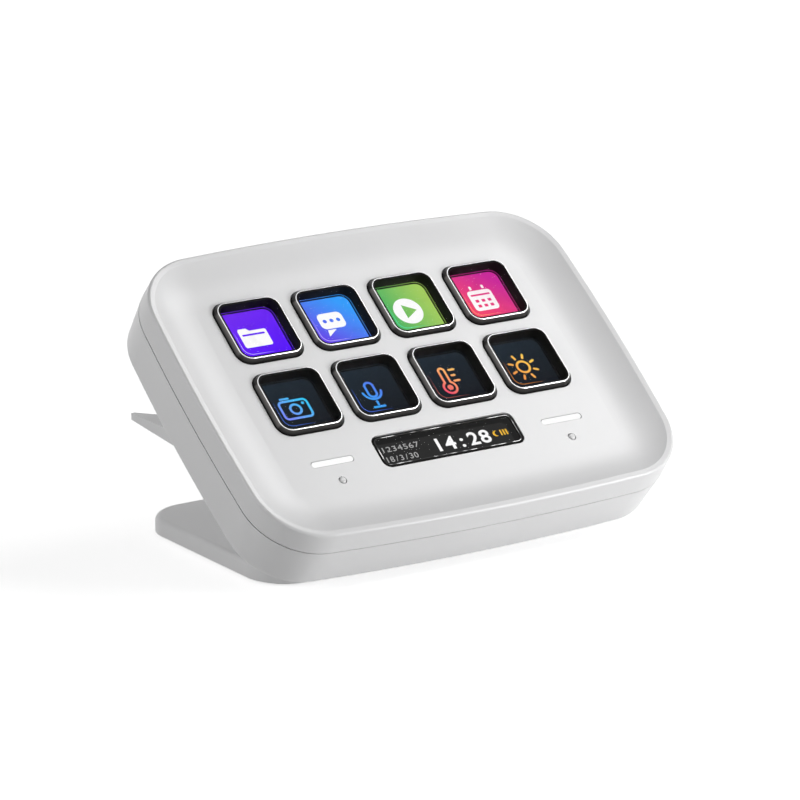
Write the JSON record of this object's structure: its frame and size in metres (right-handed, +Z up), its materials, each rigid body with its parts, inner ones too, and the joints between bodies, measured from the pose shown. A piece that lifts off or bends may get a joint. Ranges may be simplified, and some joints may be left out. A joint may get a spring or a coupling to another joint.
{
  "type": "tilted desk keypad with display keys",
  "caption": "Tilted desk keypad: a dished case with rows of square display keys over a clock window and touch points, on a one-piece stand with a flat foot.",
  "frame": {"origin": "centre of the rubber pad's underside, which rests on the desk", "axes": "+X to the user's right, +Y to the back, +Z up; the face is tilted 37.4 degrees from the desk"},
  "size_m": [0.1075, 0.0728, 0.0616],
  "materials": {
    "white_plastic": "fine satin, moulded",
    "black_plastic": "gloss",
    "clear_window": "clear gloss",
    "smoked_window": "smoked gloss",
    "lit_screen": "lit colour screen",
    "silicone": "matt silicone",
    "light_guide": "milky, lit from behind",
    "circuit_board": "solder mask",
    "chip_plastic": "moulded",
    "ribbon_film": "amber film",
    "dark_plastic": "moulded",
    "steel": "zinc plated",
    "rubber_pad": "matt"
  },
  "bodies": {
    "case": {"board_chips": "chip_plastic", "board_screws": "steel", "carrier_screws": "steel", "case_screws": "steel", "display_carrier": "dark_plastic", "display_ribbon": "ribbon_film", "foot_pad": "rubber_pad", "front_shell": "white_plastic", "indicator_leds": "light_guide", "info_display": "lit_screen", "info_ribbon": "ribbon_film", "info_window": "smoked_window", "key_display_1": "lit_screen", "key_display_2": "lit_screen", "key_display_3": "lit_screen", "key_display_4": "lit_screen", "key_display_5": "lit_screen", "key_display_6": "lit_screen", "key_display_7": "lit_screen", "key_display_8": "lit_screen", "key_dome_1": "silicone", "key_dome_2": "silicone", "key_dome_3": "silicone", "key_dome_4": "silicone", "key_dome_5": "silicone", "key_dome_6": "silicone", "key_dome_7": "silicone", "key_dome_8": "silicone", "main_board": "circuit_board", "rear_shell": "white_plastic", "ribbon_sockets": "chip_plastic", "stand": "white_plastic", "stand_screws": "steel", "switch_mat": "silicone", "touch_board_left": "circuit_board", "touch_board_right": "circuit_board", "touch_dot_left": "light_guide", "touch_dot_right": "light_guide", "touch_light_left": "light_guide", "touch_light_right": "light_guide", "touch_ribbons": "ribbon_film", "usb_socket": "steel", "weight_plate": "steel"},
    "key_1": {"key_frame_1": "black_plastic", "key_lens_1": "clear_window"},
    "key_2": {"key_frame_2": "black_plastic", "key_lens_2": "clear_window"},
    "key_3": {"key_frame_3": "black_plastic", "key_lens_3": "clear_window"},
    "key_4": {"key_frame_4": "black_plastic", "key_lens_4": "clear_window"},
    "key_5": {"key_frame_5": "black_plastic", "key_lens_5": "clear_window"},
    "key_6": {"key_frame_6": "black_plastic", "key_lens_6": "clear_window"},
    "key_7": {"key_frame_7": "black_plastic", "key_lens_7": "clear_window"},
    "key_8": {"key_frame_8": "black_plastic", "key_lens_8": "clear_window"}
  },
  "joints": [
    {"name": "key_1_press", "type": "slide", "parent": "case", "child": "key_1", "axis": [0, 0.6074, -0.7944], "range_m": [0, 0.0012], "stiffness_N_per_m": 400, "springref_m": -0.0006, "deforming": ["key_dome_1"]},
    {"name": "key_2_press", "type": "slide", "parent": "case", "child": "key_2", "axis": [0, 0.6074, -0.7944], "range_m": [0, 0.0012], "stiffness_N_per_m": 400, "springref_m": -0.0006, "deforming": ["key_dome_2"]},
    {"name": "key_3_press", "type": "slide", "parent": "case", "child": "key_3", "axis": [0, 0.6074, -0.7944], "range_m": [0, 0.0012], "stiffness_N_per_m": 400, "springref_m": -0.0006, "deforming": ["key_dome_3"]},
    {"name": "key_4_press", "type": "slide", "parent": "case", "child": "key_4", "axis": [0, 0.6074, -0.7944], "range_m": [0, 0.0012], "stiffness_N_per_m": 400, "springref_m": -0.0006, "deforming": ["key_dome_4"]},
    {"name": "key_5_press", "type": "slide", "parent": "case", "child": "key_5", "axis": [0, 0.6074, -0.7944], "range_m": [0, 0.0012], "stiffness_N_per_m": 400, "springref_m": -0.0006, "deforming": ["key_dome_5"]},
    {"name": "key_6_press", "type": "slide", "parent": "case", "child": "key_6", "axis": [0, 0.6074, -0.7944], "range_m": [0, 0.0012], "stiffness_N_per_m": 400, "springref_m": -0.0006, "deforming": ["key_dome_6"]},
    {"name": "key_7_press", "type": "slide", "parent": "case", "child": "key_7", "axis": [0, 0.6074, -0.7944], "range_m": [0, 0.0012], "stiffness_N_per_m": 400, "springref_m": -0.0006, "deforming": ["key_dome_7"]},
    {"name": "key_8_press", "type": "slide", "parent": "case", "child": "key_8", "axis": [0, 0.6074, -0.7944], "range_m": [0, 0.0012], "stiffness_N_per_m": 400, "springref_m": -0.0006, "deforming": ["key_dome_8"]}
  ]
}
